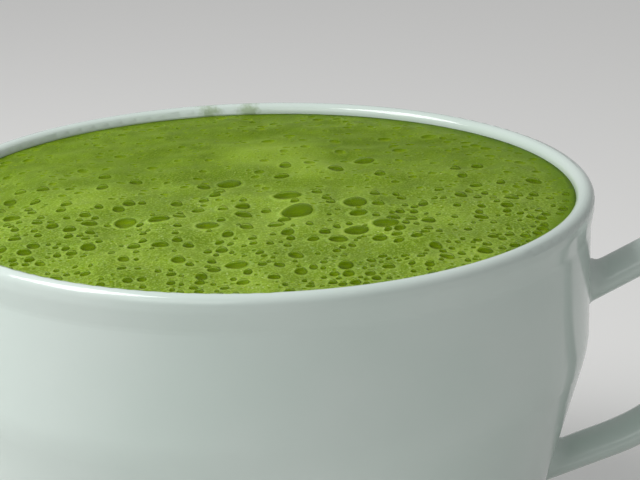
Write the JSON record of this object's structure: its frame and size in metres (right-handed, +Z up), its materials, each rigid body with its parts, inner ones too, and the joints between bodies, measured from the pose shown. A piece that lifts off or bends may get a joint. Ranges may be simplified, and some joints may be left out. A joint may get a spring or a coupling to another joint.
{
  "type": "matcha latte",
  "caption": "Green matcha latte with a frothy, bubbled top in a round white porcelain cup with an ear-shaped handle.",
  "frame": {"origin": "middle of the foot ring's plane, on the cup's axis, where the cup stands on the table", "axes": "+Z up along the cup's axis, +X from the axis towards the handle, +Y to the left of the handle seen from above with the handle pointing right"},
  "size_m": [0.1338, 0.104, 0.068],
  "materials": {
    "glaze": "gloss",
    "matcha_froth": "satin"
  },
  "bodies": {
    "root": {"cup": "glaze", "matcha_latte": "matcha_froth"}
  },
  "joints": []
}
